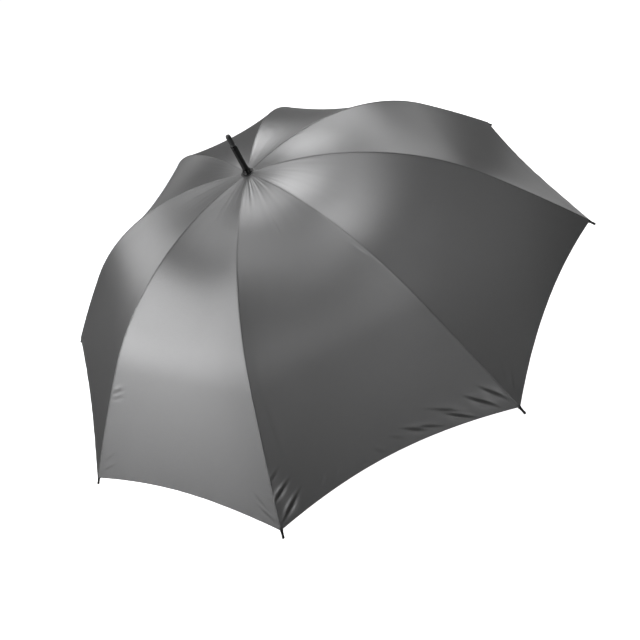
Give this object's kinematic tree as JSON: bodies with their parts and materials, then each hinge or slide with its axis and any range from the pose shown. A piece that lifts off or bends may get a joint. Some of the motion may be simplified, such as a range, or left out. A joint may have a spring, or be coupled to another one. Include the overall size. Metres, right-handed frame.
{
  "type": "golf umbrella",
  "caption": "Large domed golf umbrella with a dark folding canopy on ribs and stretchers, a sliding runner with spring catches, a straight shaft and a foam grip.",
  "frame": {"origin": "middle of the hand grip, on the shaft's axis", "axes": "+Z along the shaft towards the ferrule; one rib points along -Y"},
  "size_m": [1.3066, 1.3066, 1.0223],
  "materials": {
    "canopy_fabric": "satin woven pongee with a soft sheen",
    "black_plastic": "glossy moulded plastic",
    "rib_fibreglass": "smooth pultruded fibreglass rod",
    "stretcher_paint": "black enamel on folded steel channel",
    "shaft_paint": "glossy black enamel on steel tube",
    "steel": "bright drawn steel",
    "grip_foam": "matte closed-cell foam"
  },
  "bodies": {
    "shaft_group": {"shaft": "shaft_paint", "crown": "black_plastic", "crown_wire": "steel", "crown_pin": "steel", "crown_patch": "canopy_fabric", "rosette_cap": "black_plastic", "ferrule": "black_plastic", "ferrule_tip": "black_plastic", "upper_stop": "black_plastic", "catch_pins": "steel", "catch_springs": "steel", "handle_core": "black_plastic", "grip": "grip_foam", "handle_collar": "black_plastic", "end_cap": "black_plastic"},
    "runner": {"runner": "black_plastic", "runner_wire": "steel"},
    "top_catch": {"top_catch": "steel"},
    "bottom_catch": {"bottom_catch": "steel"},
    "rib_inner_1": {"rib_inner_1": "rib_fibreglass"},
    "rib_outer_1": {"rib_outer_1": "rib_fibreglass"},
    "stretcher_1": {"stretcher_1": "stretcher_paint"},
    "canopy_inner_1": {"canopy_inner_1": "canopy_fabric"},
    "canopy_outer_1": {"canopy_outer_1": "canopy_fabric"},
    "rib_inner_2": {"rib_inner_2": "rib_fibreglass"},
    "rib_outer_2": {"rib_outer_2": "rib_fibreglass"},
    "stretcher_2": {"stretcher_2": "stretcher_paint"},
    "canopy_inner_2": {"canopy_inner_2": "canopy_fabric"},
    "canopy_outer_2": {"canopy_outer_2": "canopy_fabric"},
    "rib_inner_3": {"rib_inner_3": "rib_fibreglass"},
    "rib_outer_3": {"rib_outer_3": "rib_fibreglass"},
    "stretcher_3": {"stretcher_3": "stretcher_paint"},
    "canopy_inner_3": {"canopy_inner_3": "canopy_fabric"},
    "canopy_outer_3": {"canopy_outer_3": "canopy_fabric"},
    "rib_inner_4": {"rib_inner_4": "rib_fibreglass"},
    "rib_outer_4": {"rib_outer_4": "rib_fibreglass"},
    "stretcher_4": {"stretcher_4": "stretcher_paint"},
    "canopy_inner_4": {"canopy_inner_4": "canopy_fabric"},
    "canopy_outer_4": {"canopy_outer_4": "canopy_fabric"},
    "rib_inner_5": {"rib_inner_5": "rib_fibreglass"},
    "rib_outer_5": {"rib_outer_5": "rib_fibreglass"},
    "stretcher_5": {"stretcher_5": "stretcher_paint"},
    "canopy_inner_5": {"canopy_inner_5": "canopy_fabric"},
    "canopy_outer_5": {"canopy_outer_5": "canopy_fabric", "tie_strap": "canopy_fabric"},
    "rib_inner_6": {"rib_inner_6": "rib_fibreglass"},
    "rib_outer_6": {"rib_outer_6": "rib_fibreglass"},
    "stretcher_6": {"stretcher_6": "stretcher_paint"},
    "canopy_inner_6": {"canopy_inner_6": "canopy_fabric"},
    "canopy_outer_6": {"canopy_outer_6": "canopy_fabric"},
    "rib_inner_7": {"rib_inner_7": "rib_fibreglass"},
    "rib_outer_7": {"rib_outer_7": "rib_fibreglass"},
    "stretcher_7": {"stretcher_7": "stretcher_paint"},
    "canopy_inner_7": {"canopy_inner_7": "canopy_fabric"},
    "canopy_outer_7": {"canopy_outer_7": "canopy_fabric"},
    "rib_inner_8": {"rib_inner_8": "rib_fibreglass"},
    "rib_outer_8": {"rib_outer_8": "rib_fibreglass"},
    "stretcher_8": {"stretcher_8": "stretcher_paint"},
    "canopy_inner_8": {"canopy_inner_8": "canopy_fabric"},
    "canopy_outer_8": {"canopy_outer_8": "canopy_fabric"}
  },
  "joints": [
    {"name": "runner_slide", "type": "slide", "parent": "shaft_group", "child": "runner", "axis": [0, 0, -1], "range_m": [0, 0.52305], "deforming": ["top_catch", "bottom_catch"]},
    {"name": "top_catch_press", "type": "hinge", "parent": "shaft_group", "child": "top_catch", "pos_m": [0.00057, -0.00139, 0.59481], "axis": [0.9239, 0.3827, 0], "range_deg": [0, 5], "stiffness_Nm_per_rad": 1, "springref_deg": -5.73, "deforming": ["catch_springs"]},
    {"name": "bottom_catch_press", "type": "hinge", "parent": "shaft_group", "child": "bottom_catch", "pos_m": [0.00057, -0.00139, 0.21976], "axis": [-0.9239, -0.3827, 0], "range_deg": [0, 5], "stiffness_Nm_per_rad": 1, "springref_deg": -5.73},
    {"name": "rib_pivot_1", "type": "hinge", "parent": "shaft_group", "child": "rib_inner_1", "pos_m": [0, -0.0125, 0.84], "axis": [1, 0, 0], "range_deg": [0, 74.38]},
    {"name": "rib_flex_1", "type": "hinge", "parent": "rib_inner_1", "child": "rib_outer_1", "pos_m": [0, -0.34958, 0.76804], "axis": [1, 0, 0], "range_deg": [-26.28, 0]},
    {"name": "stretcher_pivot_1", "type": "hinge", "parent": "rib_inner_1", "child": "stretcher_1", "pos_m": [0, -0.33971, 0.76665], "axis": [1, 0, 0], "range_deg": [-148.74, 0]},
    {"name": "canopy_fold_1", "type": "hinge", "parent": "shaft_group", "child": "canopy_inner_1", "pos_m": [0.00442, -0.01067, 0.84], "axis": [0.9239, 0.3827, 0], "range_deg": [0, 72.6], "deforming": ["canopy_inner_1"]},
    {"name": "canopy_flex_1", "type": "hinge", "parent": "canopy_inner_1", "child": "canopy_outer_1", "pos_m": [0.12359, -0.29839, 0.76804], "axis": [0.9239, 0.3827, 0], "range_deg": [-27.27, 0], "deforming": ["canopy_outer_1"]},
    {"name": "rib_pivot_2", "type": "hinge", "parent": "shaft_group", "child": "rib_inner_2", "pos_m": [0.00884, -0.00884, 0.84], "axis": [0.7071, 0.7071, 0], "range_deg": [0, 74.38]},
    {"name": "rib_flex_2", "type": "hinge", "parent": "rib_inner_2", "child": "rib_outer_2", "pos_m": [0.24719, -0.24719, 0.76804], "axis": [0.7071, 0.7071, 0], "range_deg": [-26.28, 0]},
    {"name": "stretcher_pivot_2", "type": "hinge", "parent": "rib_inner_2", "child": "stretcher_2", "pos_m": [0.24021, -0.24021, 0.76665], "axis": [0.7071, 0.7071, 0], "range_deg": [-148.74, 0]},
    {"name": "canopy_fold_2", "type": "hinge", "parent": "shaft_group", "child": "canopy_inner_2", "pos_m": [0.01067, -0.00442, 0.84], "axis": [0.3827, 0.9239, 0], "range_deg": [0, 72.6], "deforming": ["canopy_inner_2"]},
    {"name": "canopy_flex_2", "type": "hinge", "parent": "canopy_inner_2", "child": "canopy_outer_2", "pos_m": [0.29839, -0.12359, 0.76804], "axis": [0.3827, 0.9239, 0], "range_deg": [-27.27, 0], "deforming": ["canopy_outer_2"]},
    {"name": "rib_pivot_3", "type": "hinge", "parent": "shaft_group", "child": "rib_inner_3", "pos_m": [0.0125, 0, 0.84], "axis": [0, 1, 0], "range_deg": [0, 74.38]},
    {"name": "rib_flex_3", "type": "hinge", "parent": "rib_inner_3", "child": "rib_outer_3", "pos_m": [0.34958, 0, 0.76804], "axis": [0, 1, 0], "range_deg": [-26.28, 0]},
    {"name": "stretcher_pivot_3", "type": "hinge", "parent": "rib_inner_3", "child": "stretcher_3", "pos_m": [0.33971, 0, 0.76665], "axis": [0, 1, 0], "range_deg": [-148.74, 0]},
    {"name": "canopy_fold_3", "type": "hinge", "parent": "shaft_group", "child": "canopy_inner_3", "pos_m": [0.01067, 0.00442, 0.84], "axis": [-0.3827, 0.9239, 0], "range_deg": [0, 72.6], "deforming": ["canopy_inner_3"]},
    {"name": "canopy_flex_3", "type": "hinge", "parent": "canopy_inner_3", "child": "canopy_outer_3", "pos_m": [0.29839, 0.12359, 0.76804], "axis": [-0.3827, 0.9239, 0], "range_deg": [-27.27, 0], "deforming": ["canopy_outer_3"]},
    {"name": "rib_pivot_4", "type": "hinge", "parent": "shaft_group", "child": "rib_inner_4", "pos_m": [0.00884, 0.00884, 0.84], "axis": [-0.7071, 0.7071, 0], "range_deg": [0, 74.38]},
    {"name": "rib_flex_4", "type": "hinge", "parent": "rib_inner_4", "child": "rib_outer_4", "pos_m": [0.24719, 0.24719, 0.76804], "axis": [-0.7071, 0.7071, 0], "range_deg": [-26.28, 0]},
    {"name": "stretcher_pivot_4", "type": "hinge", "parent": "rib_inner_4", "child": "stretcher_4", "pos_m": [0.24021, 0.24021, 0.76665], "axis": [-0.7071, 0.7071, 0], "range_deg": [-148.74, 0]},
    {"name": "canopy_fold_4", "type": "hinge", "parent": "shaft_group", "child": "canopy_inner_4", "pos_m": [0.00442, 0.01067, 0.84], "axis": [-0.9239, 0.3827, 0], "range_deg": [0, 72.6], "deforming": ["canopy_inner_4"]},
    {"name": "canopy_flex_4", "type": "hinge", "parent": "canopy_inner_4", "child": "canopy_outer_4", "pos_m": [0.12359, 0.29839, 0.76804], "axis": [-0.9239, 0.3827, 0], "range_deg": [-27.27, 0], "deforming": ["canopy_outer_4"]},
    {"name": "rib_pivot_5", "type": "hinge", "parent": "shaft_group", "child": "rib_inner_5", "pos_m": [0, 0.0125, 0.84], "axis": [-1, 0, 0], "range_deg": [0, 74.38]},
    {"name": "rib_flex_5", "type": "hinge", "parent": "rib_inner_5", "child": "rib_outer_5", "pos_m": [0, 0.34958, 0.76804], "axis": [-1, 0, 0], "range_deg": [-26.28, 0]},
    {"name": "stretcher_pivot_5", "type": "hinge", "parent": "rib_inner_5", "child": "stretcher_5", "pos_m": [0, 0.33971, 0.76665], "axis": [-1, 0, 0], "range_deg": [-148.74, 0]},
    {"name": "canopy_fold_5", "type": "hinge", "parent": "shaft_group", "child": "canopy_inner_5", "pos_m": [-0.00442, 0.01067, 0.84], "axis": [-0.9239, -0.3827, 0], "range_deg": [0, 72.6], "deforming": ["canopy_inner_5"]},
    {"name": "canopy_flex_5", "type": "hinge", "parent": "canopy_inner_5", "child": "canopy_outer_5", "pos_m": [-0.12359, 0.29839, 0.76804], "axis": [-0.9239, -0.3827, 0], "range_deg": [-27.27, 0], "deforming": ["canopy_outer_5", "tie_strap"]},
    {"name": "rib_pivot_6", "type": "hinge", "parent": "shaft_group", "child": "rib_inner_6", "pos_m": [-0.00884, 0.00884, 0.84], "axis": [-0.7071, -0.7071, 0], "range_deg": [0, 74.38]},
    {"name": "rib_flex_6", "type": "hinge", "parent": "rib_inner_6", "child": "rib_outer_6", "pos_m": [-0.24719, 0.24719, 0.76804], "axis": [-0.7071, -0.7071, 0], "range_deg": [-26.28, 0]},
    {"name": "stretcher_pivot_6", "type": "hinge", "parent": "rib_inner_6", "child": "stretcher_6", "pos_m": [-0.24021, 0.24021, 0.76665], "axis": [-0.7071, -0.7071, 0], "range_deg": [-148.74, 0]},
    {"name": "canopy_fold_6", "type": "hinge", "parent": "shaft_group", "child": "canopy_inner_6", "pos_m": [-0.01067, 0.00442, 0.84], "axis": [-0.3827, -0.9239, 0], "range_deg": [0, 72.6], "deforming": ["canopy_inner_6"]},
    {"name": "canopy_flex_6", "type": "hinge", "parent": "canopy_inner_6", "child": "canopy_outer_6", "pos_m": [-0.29839, 0.12359, 0.76804], "axis": [-0.3827, -0.9239, 0], "range_deg": [-27.27, 0], "deforming": ["canopy_outer_6"]},
    {"name": "rib_pivot_7", "type": "hinge", "parent": "shaft_group", "child": "rib_inner_7", "pos_m": [-0.0125, 0, 0.84], "axis": [0, -1, 0], "range_deg": [0, 74.38]},
    {"name": "rib_flex_7", "type": "hinge", "parent": "rib_inner_7", "child": "rib_outer_7", "pos_m": [-0.34958, 0, 0.76804], "axis": [0, -1, 0], "range_deg": [-26.28, 0]},
    {"name": "stretcher_pivot_7", "type": "hinge", "parent": "rib_inner_7", "child": "stretcher_7", "pos_m": [-0.33971, 0, 0.76665], "axis": [0, -1, 0], "range_deg": [-148.74, 0]},
    {"name": "canopy_fold_7", "type": "hinge", "parent": "shaft_group", "child": "canopy_inner_7", "pos_m": [-0.01067, -0.00442, 0.84], "axis": [0.3827, -0.9239, 0], "range_deg": [0, 72.6], "deforming": ["canopy_inner_7"]},
    {"name": "canopy_flex_7", "type": "hinge", "parent": "canopy_inner_7", "child": "canopy_outer_7", "pos_m": [-0.29839, -0.12359, 0.76804], "axis": [0.3827, -0.9239, 0], "range_deg": [-27.27, 0], "deforming": ["canopy_outer_7"]},
    {"name": "rib_pivot_8", "type": "hinge", "parent": "shaft_group", "child": "rib_inner_8", "pos_m": [-0.00884, -0.00884, 0.84], "axis": [0.7071, -0.7071, 0], "range_deg": [0, 74.38]},
    {"name": "rib_flex_8", "type": "hinge", "parent": "rib_inner_8", "child": "rib_outer_8", "pos_m": [-0.24719, -0.24719, 0.76804], "axis": [0.7071, -0.7071, 0], "range_deg": [-26.28, 0]},
    {"name": "stretcher_pivot_8", "type": "hinge", "parent": "rib_inner_8", "child": "stretcher_8", "pos_m": [-0.24021, -0.24021, 0.76665], "axis": [0.7071, -0.7071, 0], "range_deg": [-148.74, 0]},
    {"name": "canopy_fold_8", "type": "hinge", "parent": "shaft_group", "child": "canopy_inner_8", "pos_m": [-0.00442, -0.01067, 0.84], "axis": [0.9239, -0.3827, 0], "range_deg": [0, 72.6], "deforming": ["canopy_inner_8"]},
    {"name": "canopy_flex_8", "type": "hinge", "parent": "canopy_inner_8", "child": "canopy_outer_8", "pos_m": [-0.12359, -0.29839, 0.76804], "axis": [0.9239, -0.3827, 0], "range_deg": [-27.27, 0], "deforming": ["canopy_outer_8"]}
  ],
  "couplings": [
    {"joint": "rib_pivot_1", "follows": "runner_slide", "rad_per_m": 2.4815},
    {"joint": "rib_flex_1", "follows": "runner_slide", "rad_per_m": -0.87652},
    {"joint": "stretcher_pivot_1", "follows": "runner_slide", "rad_per_m": -4.9629},
    {"joint": "canopy_fold_1", "follows": "runner_slide", "rad_per_m": 2.4222},
    {"joint": "canopy_flex_1", "follows": "runner_slide", "rad_per_m": -0.90956},
    {"joint": "rib_pivot_2", "follows": "runner_slide", "rad_per_m": 2.4815},
    {"joint": "rib_flex_2", "follows": "runner_slide", "rad_per_m": -0.87652},
    {"joint": "stretcher_pivot_2", "follows": "runner_slide", "rad_per_m": -4.9629},
    {"joint": "canopy_fold_2", "follows": "runner_slide", "rad_per_m": 2.4222},
    {"joint": "canopy_flex_2", "follows": "runner_slide", "rad_per_m": -0.90956},
    {"joint": "rib_pivot_3", "follows": "runner_slide", "rad_per_m": 2.4815},
    {"joint": "rib_flex_3", "follows": "runner_slide", "rad_per_m": -0.87652},
    {"joint": "stretcher_pivot_3", "follows": "runner_slide", "rad_per_m": -4.9629},
    {"joint": "canopy_fold_3", "follows": "runner_slide", "rad_per_m": 2.4222},
    {"joint": "canopy_flex_3", "follows": "runner_slide", "rad_per_m": -0.90956},
    {"joint": "rib_pivot_4", "follows": "runner_slide", "rad_per_m": 2.4815},
    {"joint": "rib_flex_4", "follows": "runner_slide", "rad_per_m": -0.87652},
    {"joint": "stretcher_pivot_4", "follows": "runner_slide", "rad_per_m": -4.9629},
    {"joint": "canopy_fold_4", "follows": "runner_slide", "rad_per_m": 2.4222},
    {"joint": "canopy_flex_4", "follows": "runner_slide", "rad_per_m": -0.90956},
    {"joint": "rib_pivot_5", "follows": "runner_slide", "rad_per_m": 2.4815},
    {"joint": "rib_flex_5", "follows": "runner_slide", "rad_per_m": -0.87652},
    {"joint": "stretcher_pivot_5", "follows": "runner_slide", "rad_per_m": -4.9629},
    {"joint": "canopy_fold_5", "follows": "runner_slide", "rad_per_m": 2.4222},
    {"joint": "canopy_flex_5", "follows": "runner_slide", "rad_per_m": -0.90956},
    {"joint": "rib_pivot_6", "follows": "runner_slide", "rad_per_m": 2.4815},
    {"joint": "rib_flex_6", "follows": "runner_slide", "rad_per_m": -0.87652},
    {"joint": "stretcher_pivot_6", "follows": "runner_slide", "rad_per_m": -4.9629},
    {"joint": "canopy_fold_6", "follows": "runner_slide", "rad_per_m": 2.4222},
    {"joint": "canopy_flex_6", "follows": "runner_slide", "rad_per_m": -0.90956},
    {"joint": "rib_pivot_7", "follows": "runner_slide", "rad_per_m": 2.4815},
    {"joint": "rib_flex_7", "follows": "runner_slide", "rad_per_m": -0.87652},
    {"joint": "stretcher_pivot_7", "follows": "runner_slide", "rad_per_m": -4.9629},
    {"joint": "canopy_fold_7", "follows": "runner_slide", "rad_per_m": 2.4222},
    {"joint": "canopy_flex_7", "follows": "runner_slide", "rad_per_m": -0.90956},
    {"joint": "rib_pivot_8", "follows": "runner_slide", "rad_per_m": 2.4815},
    {"joint": "rib_flex_8", "follows": "runner_slide", "rad_per_m": -0.87652},
    {"joint": "stretcher_pivot_8", "follows": "runner_slide", "rad_per_m": -4.9629},
    {"joint": "canopy_fold_8", "follows": "runner_slide", "rad_per_m": 2.4222},
    {"joint": "canopy_flex_8", "follows": "runner_slide", "rad_per_m": -0.90956}
  ]
}
